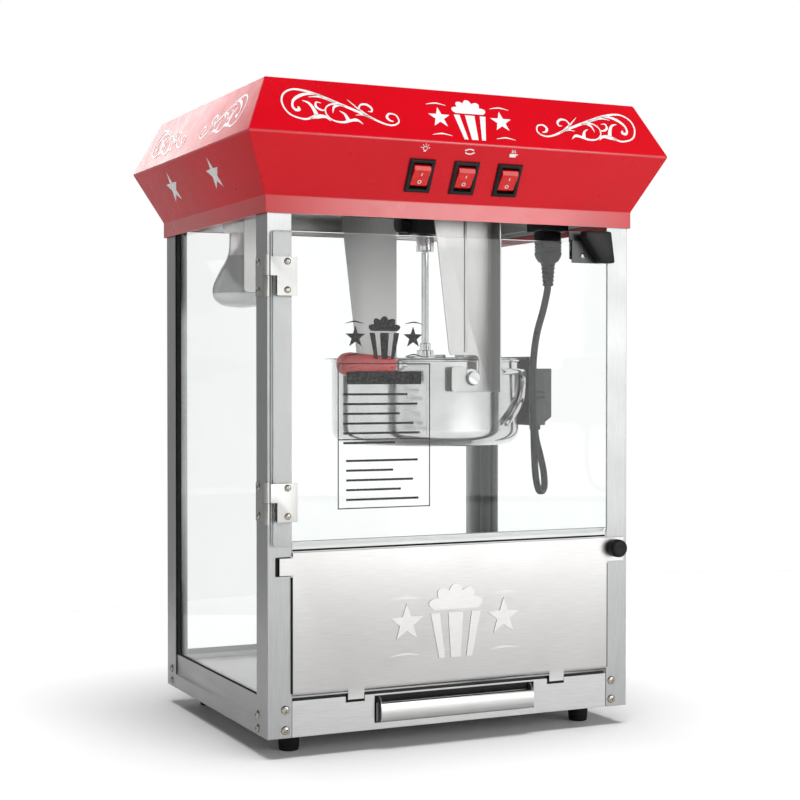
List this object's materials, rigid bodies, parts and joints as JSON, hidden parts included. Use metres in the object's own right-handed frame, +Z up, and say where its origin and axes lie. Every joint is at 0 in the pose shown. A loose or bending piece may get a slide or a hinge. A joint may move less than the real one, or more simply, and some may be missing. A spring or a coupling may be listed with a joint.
{
  "type": "popcorn maker",
  "caption": "Countertop popcorn machine: glazed cabinet with flared roof, tilting kettle with stirrer, glass door, drop-down serving panel and kernel drawer.",
  "frame": {"origin": "on the standing surface under the middle of the machine", "axes": "+X to the machine's right as seen from the front, +Y to the back, +Z up"},
  "size_m": [0.4708, 0.3912, 0.661],
  "materials": {
    "red_paint": "glossy red powder coat",
    "satin_aluminium": "satin extruded angle and folded sheet",
    "brushed_steel": "brushed stainless sheet",
    "polished_steel": "polished stainless",
    "clear_glass": "clear tempered glass",
    "frosted_glass": "frosted lamp bulb",
    "black_plastic": "satin black moulded plastic",
    "black_rubber": "black rubber",
    "red_plastic": "glossy red moulded grip",
    "red_rocker": "translucent red rocker",
    "ceramic": "white lamp holder",
    "heater_casting": "cast aluminium heater"
  },
  "bodies": {
    "cabinet": {"foot_front_left": "black_rubber", "foot_front_right": "black_rubber", "foot_rear_left": "black_rubber", "foot_rear_right": "black_rubber", "mains_gland": "black_rubber", "kettle_cord": "black_rubber", "base_pan": "satin_aluminium", "front_rail": "satin_aluminium", "left_rail": "satin_aluminium", "right_rail": "satin_aluminium", "rear_rail": "satin_aluminium", "post_front_left": "satin_aluminium", "post_front_right": "satin_aluminium", "post_rear_left": "satin_aluminium", "post_rear_right": "satin_aluminium", "front_crossbar": "satin_aluminium", "left_glass": "clear_glass", "right_glass": "clear_glass", "rear_glass": "clear_glass", "popcorn_deck": "brushed_steel", "ceiling_pan": "brushed_steel", "hanger_front": "brushed_steel", "hanger_rear": "brushed_steel", "bulb_shield": "brushed_steel", "hinge_post_leaf_upper": "brushed_steel", "hinge_post_leaf_lower": "brushed_steel", "roof_shell": "red_paint", "kettle_plug": "black_plastic", "kettle_socket": "black_plastic", "stir_motor": "black_plastic", "switch_bezel_light": "black_plastic", "switch_bezel_stirrer": "black_plastic", "switch_bezel_kettle": "black_plastic", "warmer_bulb": "frosted_glass", "lamp_holder": "ceramic"},
    "glass_door": {"door_glass": "clear_glass", "door_clip": "polished_steel", "door_pull": "black_plastic", "hinge_door_leaf_upper": "brushed_steel", "hinge_door_leaf_lower": "brushed_steel"},
    "serving_door": {"serving_panel": "brushed_steel"},
    "panel_knob": {"panel_knob": "black_plastic"},
    "drawer": {"kernel_drawer": "brushed_steel", "drawer_pull": "brushed_steel"},
    "kettle": {"kettle_shell": "polished_steel", "kettle_liner": "polished_steel", "heater_element": "heater_casting", "kettle_crossbar": "brushed_steel", "kettle_grip": "red_plastic", "kettle_stay": "polished_steel", "terminal_box": "brushed_steel", "trunnion_front": "polished_steel", "trunnion_rear": "polished_steel"},
    "lid_left": {"kettle_lid_left": "polished_steel"},
    "lid_right": {"kettle_lid_right": "polished_steel"},
    "stirrer": {"stirrer_rod": "polished_steel"},
    "drive_coupling": {"drive_coupling": "brushed_steel"},
    "rocker_light": {"switch_rocker_light": "red_rocker"},
    "rocker_stirrer": {"switch_rocker_stirrer": "red_rocker"},
    "rocker_kettle": {"switch_rocker_kettle": "red_rocker"}
  },
  "joints": [
    {"name": "door_swing", "type": "hinge", "parent": "cabinet", "child": "glass_door", "pos_m": [-0.2072, -0.1675, 0.361], "axis": [0, 0, -1], "range_deg": [0, 170]},
    {"name": "serving_door_drop", "type": "hinge", "parent": "cabinet", "child": "serving_door", "pos_m": [0, -0.166, 0.057], "axis": [1, 0, 0], "range_deg": [0, 90]},
    {"name": "knob_turn", "type": "hinge", "parent": "serving_door", "child": "panel_knob", "pos_m": [0.1885, -0.1656, 0.19], "axis": [0, -1, 0], "continuous": true},
    {"name": "drawer_slide", "type": "slide", "parent": "cabinet", "child": "drawer", "axis": [0, -1, 0], "range_m": [0, 0.15]},
    {"name": "kettle_tilt", "type": "hinge", "parent": "cabinet", "child": "kettle", "pos_m": [0.0405, 0, 0.371], "axis": [0, -1, 0], "range_deg": [0, 95], "deforming": ["kettle_cord"]},
    {"name": "lid_left_lift", "type": "hinge", "parent": "kettle", "child": "lid_left", "pos_m": [0.0304, -0.002, 0.3932], "axis": [0, 1, 0], "range_deg": [0, 85]},
    {"name": "lid_right_lift", "type": "hinge", "parent": "kettle", "child": "lid_right", "pos_m": [0.0556, -0.002, 0.3932], "axis": [0, -1, 0], "range_deg": [0, 85]},
    {"name": "stirrer_spin", "type": "hinge", "parent": "kettle", "child": "stirrer", "pos_m": [0.043, -0.002, 0.391], "axis": [0, 0, 1], "continuous": true},
    {"name": "coupling_spin", "type": "hinge", "parent": "cabinet", "child": "drive_coupling", "pos_m": [0.043, -0.002, 0.52], "axis": [0, 0, 1], "continuous": true},
    {"name": "rocker_light_press", "type": "hinge", "parent": "cabinet", "child": "rocker_light", "pos_m": [-0.049, -0.17719, 0.57379], "axis": [-1, 0, 0], "range_deg": [0, 26]},
    {"name": "rocker_stirrer_press", "type": "hinge", "parent": "cabinet", "child": "rocker_stirrer", "pos_m": [0.0005, -0.17719, 0.57379], "axis": [-1, 0, 0], "range_deg": [0, 26]},
    {"name": "rocker_kettle_press", "type": "hinge", "parent": "cabinet", "child": "rocker_kettle", "pos_m": [0.05, -0.17719, 0.57379], "axis": [-1, 0, 0], "range_deg": [0, 26]}
  ],
  "couplings": [
    {"joint": "coupling_spin", "follows": "stirrer_spin", "ratio": 1}
  ]
}
